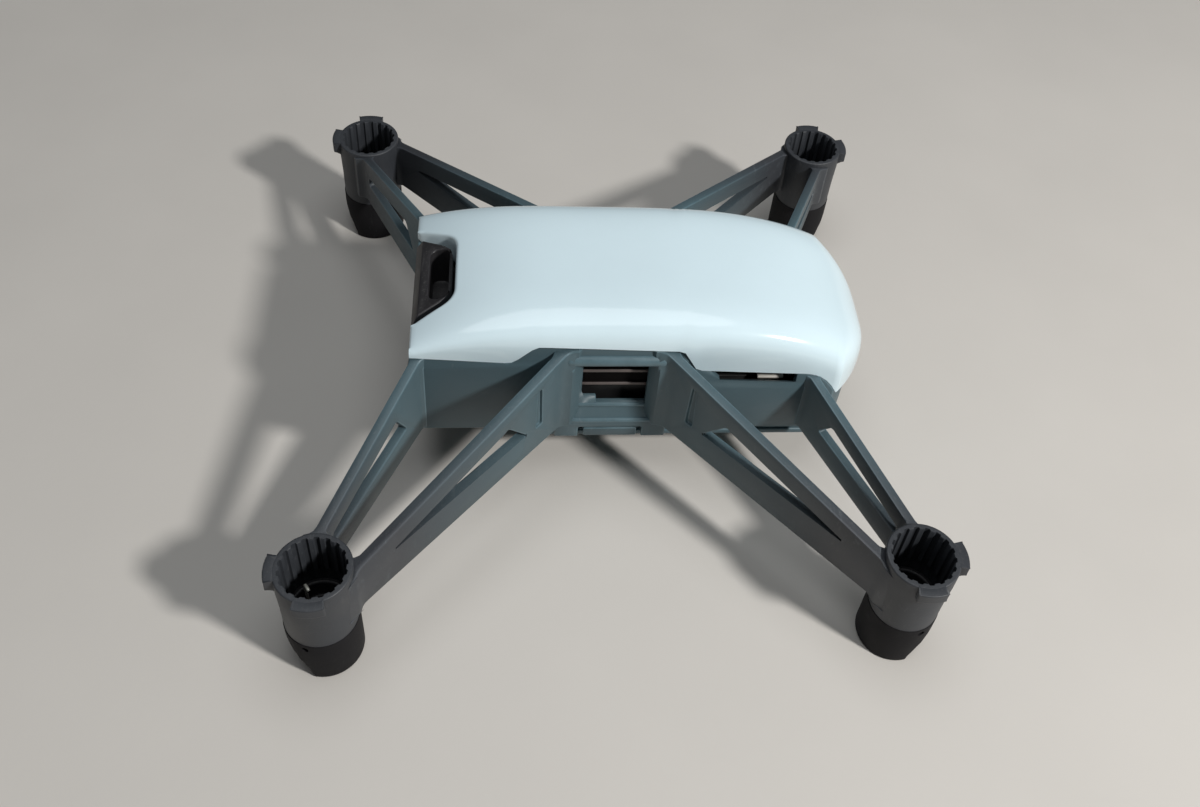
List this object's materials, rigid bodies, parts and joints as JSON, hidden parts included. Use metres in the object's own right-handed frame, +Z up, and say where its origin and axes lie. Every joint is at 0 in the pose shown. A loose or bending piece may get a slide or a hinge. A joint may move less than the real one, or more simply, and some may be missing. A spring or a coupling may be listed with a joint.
{
  "type": "mini palm drone airframe",
  "caption": "Small palm drone airframe: grey moulded frame with slotted struts to ribbed motor tubes on dark feet, white clip-on cover, slide-in battery and side power button.",
  "frame": {"origin": "on the floor, midway between the four motor tubes", "axes": "+X to the nose, +Y to the drone's left, +Z up"},
  "size_m": [0.0924, 0.098, 0.0331],
  "materials": {
    "frame_grey": "fine matte moulding",
    "foot_dark": "matte, slightly soft",
    "nose_black": "satin",
    "inner_black": "satin",
    "dark_glass": "polished",
    "lamp_clear": "clear moulding",
    "board_green": "solder resist",
    "shield_metal": "plated sheet",
    "fin_brown": "dark coating",
    "contact_gold": "plated",
    "antenna_white": "smooth",
    "socket_cream": "smooth",
    "lead_metal": "bare drawn wire",
    "screw_steel": "plated",
    "cover_white": "high gloss",
    "battery_grey": "smooth matte"
  },
  "bodies": {
    "airframe": {"body_shell": "frame_grey", "bottom_plate": "foot_dark", "nose_housing": "nose_black", "camera_block": "inner_black", "lens_barrel": "inner_black", "lens_glass": "dark_glass", "status_lamp": "lamp_clear", "strut_fl_end": "frame_grey", "strut_fl_mid": "frame_grey", "strut_fr_end": "frame_grey", "strut_fr_mid": "frame_grey", "strut_rl_end": "frame_grey", "strut_rl_mid": "frame_grey", "strut_rr_end": "frame_grey", "strut_rr_mid": "frame_grey", "motor_tube_fl": "frame_grey", "motor_tube_fr": "frame_grey", "motor_tube_rl": "frame_grey", "motor_tube_rr": "frame_grey", "foot_fl": "foot_dark", "foot_fr": "foot_dark", "foot_rl": "foot_dark", "foot_rr": "foot_dark", "battery_tray": "inner_black", "battery_socket": "contact_gold", "main_board": "board_green", "shield_can": "shield_metal", "heat_sink": "fin_brown", "usb_socket": "shield_metal", "power_switch": "shield_metal", "antenna_left": "antenna_white", "antenna_right": "antenna_white", "motor_sockets": "socket_cream", "motor_leads": "lead_metal", "flow_camera": "inner_black", "range_sensor": "inner_black", "belly_window": "dark_glass", "belly_screws": "screw_steel", "board_screws": "screw_steel"},
    "top_cover": {"top_cover": "cover_white"},
    "battery": {"battery_case": "battery_grey", "battery_tail": "frame_grey", "battery_pads": "contact_gold"},
    "power_button": {"power_button": "frame_grey"}
  },
  "joints": [
    {"name": "cover_lift", "type": "slide", "parent": "airframe", "child": "top_cover", "axis": [0, 0, 1], "range_m": [0, 0.03]},
    {"name": "battery_slide", "type": "slide", "parent": "airframe", "child": "battery", "axis": [-1, 0, 0], "range_m": [0, 0.046]},
    {"name": "button_press", "type": "slide", "parent": "airframe", "child": "power_button", "axis": [0, -1, 0], "range_m": [0, 0.00025], "stiffness_N_per_m": 400}
  ]
}
